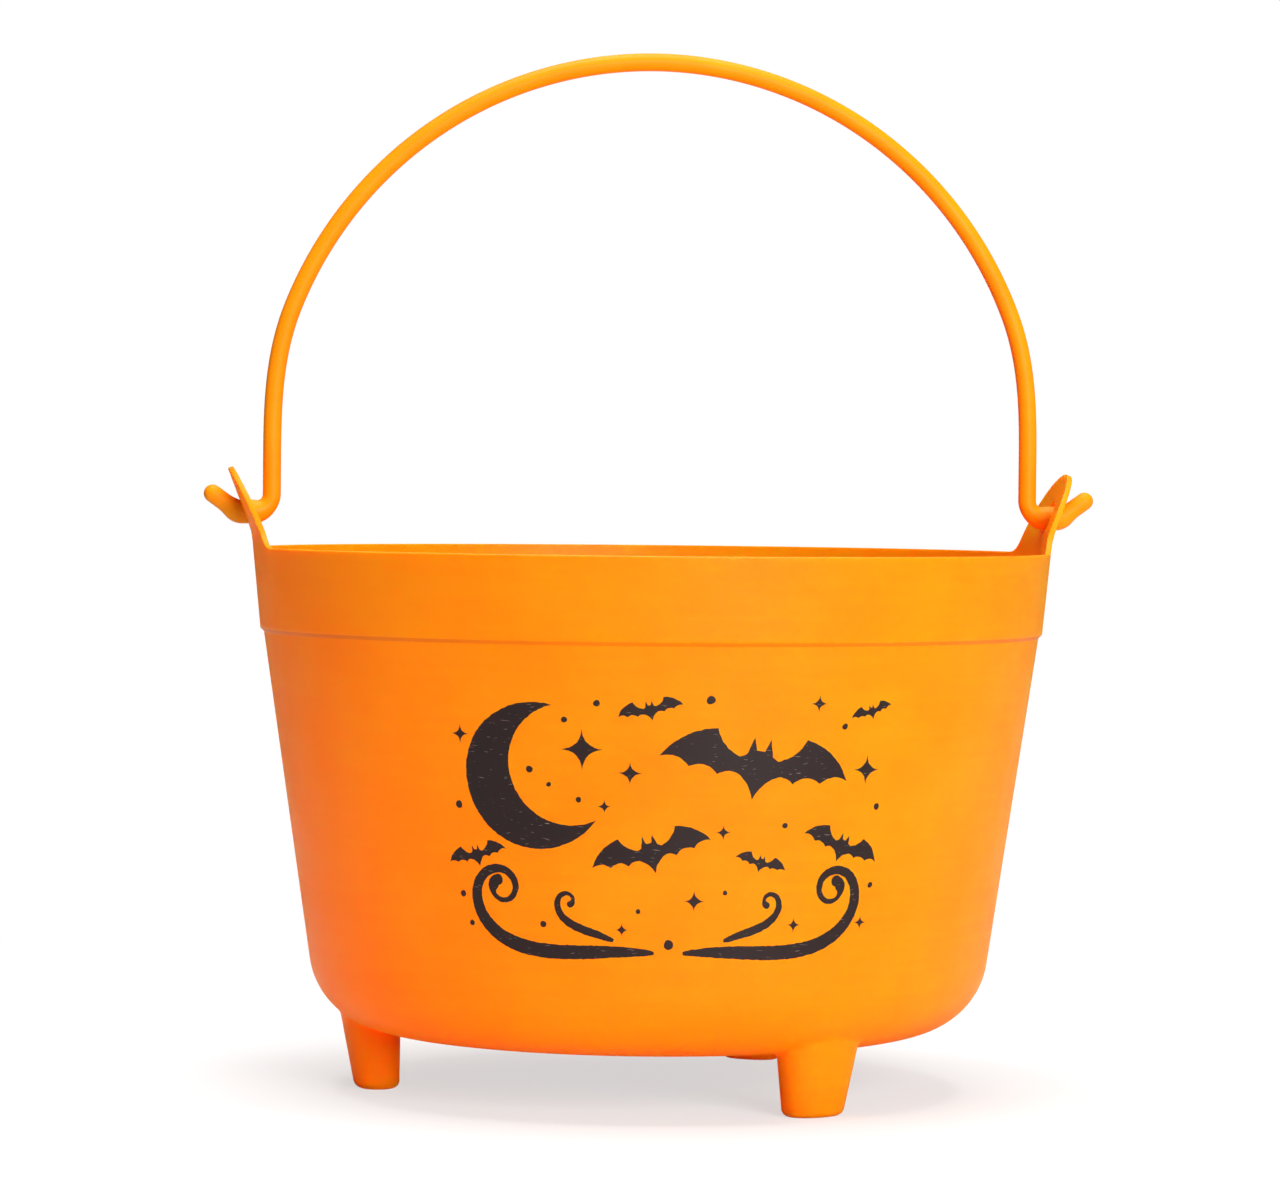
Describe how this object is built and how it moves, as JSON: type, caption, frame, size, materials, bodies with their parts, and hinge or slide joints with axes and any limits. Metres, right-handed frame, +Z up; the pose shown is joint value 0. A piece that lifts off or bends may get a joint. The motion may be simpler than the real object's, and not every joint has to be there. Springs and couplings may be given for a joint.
{
  "type": "witch cauldron",
  "caption": "Round tapered cauldron bucket with a raised rim band, two leaning ears, short hollow feet and a swinging hooked bail handle.",
  "frame": {"origin": "on the floor, in the middle of the three feet, under the centre of the rim", "axes": "+Z up, +X through one ear along the bail's pivot axis, with one foot standing under the opposite ear"},
  "size_m": [0.2248, 0.2, 0.2598],
  "materials": {
    "orange_plastic": "satin as moulded",
    "printing_ink": "satin screen-printed ink"
  },
  "bodies": {
    "bucket": {"bucket": "orange_plastic"},
    "bail": {"bail_handle": "orange_plastic"}
  },
  "joints": [
    {"name": "bail_swing", "type": "hinge", "parent": "bucket", "child": "bail", "pos_m": [0, 0, 0.1439], "axis": [1, 0, 0], "range_deg": [-97, 97]}
  ]
}
